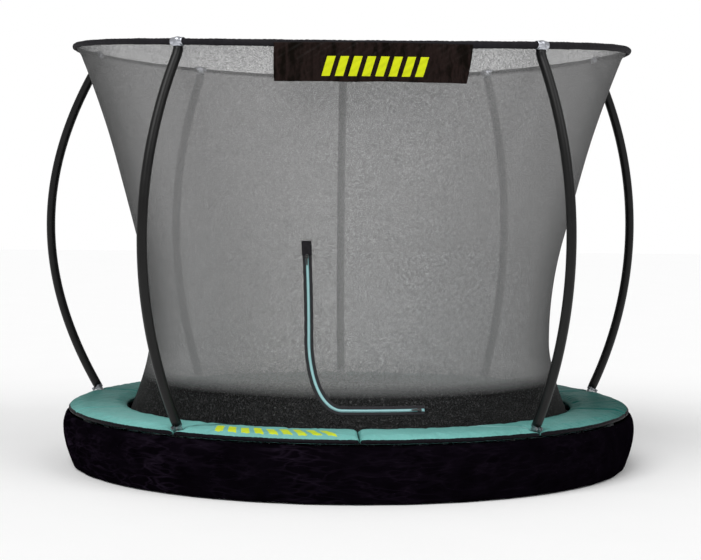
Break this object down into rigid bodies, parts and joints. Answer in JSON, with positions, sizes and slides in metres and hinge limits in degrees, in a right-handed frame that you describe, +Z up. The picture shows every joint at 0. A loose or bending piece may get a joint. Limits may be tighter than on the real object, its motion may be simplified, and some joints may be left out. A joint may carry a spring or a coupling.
{
  "type": "garden trampoline",
  "caption": "Low round garden trampoline with a teal spring pad, bowed poles, a waisted safety net with a zip door, and a jumping mat on springs.",
  "frame": {"origin": "middle of the whole footprint on the ground; the round frame's own axis stands 0.10125 m in front of it, at y = -0.10125, because the back pole bows out further than the pad's front edge", "axes": "+Z up, parallel to the round frame's axis; -Y towards the zip door and banner; +X to the right seen from the door side"},
  "size_m": [3.2826, 3.2464, 2.1849],
  "materials": {
    "galvanised_steel": "bright zinc, faintly streaked",
    "zinc_fixings": "bright zinc",
    "black_rubber": "matt moulded rubber",
    "black_pole_sleeve": "smooth satin black sleeve",
    "fibreglass_rod": "drawn fibreglass",
    "black_webbing": "black woven polyester",
    "net_mesh": "fine see-through grey mesh",
    "zip_tape": "woven tape",
    "zip_teeth": "pale turquoise moulded teeth",
    "zip_slider": "black moulded slider",
    "spring_steel": "zinc-plated wire",
    "mat_weave": "coarse black woven polypropylene",
    "teal_pad": "teal coated cloth over foam, slightly shiny",
    "black_skirt": "thin black cloth with soft creases",
    "banner_cloth": "dark brown-black satin cloth, yellow-green chevrons"
  },
  "bodies": {
    "frame": {"top_rails": "galvanised_steel", "leg_sockets": "galvanised_steel", "leg_uprights": "galvanised_steel", "leg_bases": "galvanised_steel", "foot_pads": "black_rubber", "socket_screws": "zinc_fixings", "pole_lower_tubes": "galvanised_steel", "pole_upper_tubes": "galvanised_steel", "pole_sleeves": "black_pole_sleeve", "pole_clamps": "zinc_fixings", "clamp_bolts": "zinc_fixings", "pole_caps": "zinc_fixings", "ring_rods": "fibreglass_rod", "ring_ferrules": "zinc_fixings", "ring_sleeve": "black_webbing", "net": "net_mesh", "zip_tape": "zip_tape", "zip_teeth": "zip_teeth", "springs": "spring_steel", "safety_pad": "teal_pad", "pad_straps": "black_webbing", "skirt": "black_skirt", "banner": "banner_cloth"},
    "mat": {"mat": "mat_weave", "mat_edge_band": "black_webbing", "v_rings": "spring_steel", "net_hem": "black_webbing"},
    "top_slider": {"zip_slider_top": "zip_slider"},
    "side_slider": {"zip_slider_side": "zip_slider"},
    "top_pull": {"zip_pull_top": "zip_slider"},
    "side_pull": {"zip_pull_side": "zip_slider"}
  },
  "joints": [
    {"name": "mat_bounce", "type": "slide", "parent": "frame", "child": "mat", "axis": [0, 0, -1], "range_m": [0, 0.15], "stiffness_N_per_m": 6000, "springref_m": -0.04, "deforming": ["springs"]},
    {"name": "top_slider_run", "type": "hinge", "parent": "frame", "child": "top_slider", "pos_m": [-0.66815, -3.11508, 0.694], "axis": [-0.9763, 0.2164, 0], "range_deg": [0, 11.58]},
    {"name": "side_slider_run", "type": "hinge", "parent": "frame", "child": "side_slider", "pos_m": [0, -0.10125, 0.405], "axis": [0, 0, -1], "range_deg": [0, 18.5]},
    {"name": "top_pull_flap", "type": "hinge", "parent": "top_slider", "child": "top_pull", "pos_m": [-0.24967, -1.22743, 1.15725], "axis": [-0.9763, 0.2164, 0], "range_deg": [0, 150]},
    {"name": "side_pull_flap", "type": "hinge", "parent": "side_slider", "child": "side_pull", "pos_m": [0.31026, -1.21246, 0.40876], "axis": [-0.0857, 0.307, 0.9478], "range_deg": [0, 150]}
  ]
}
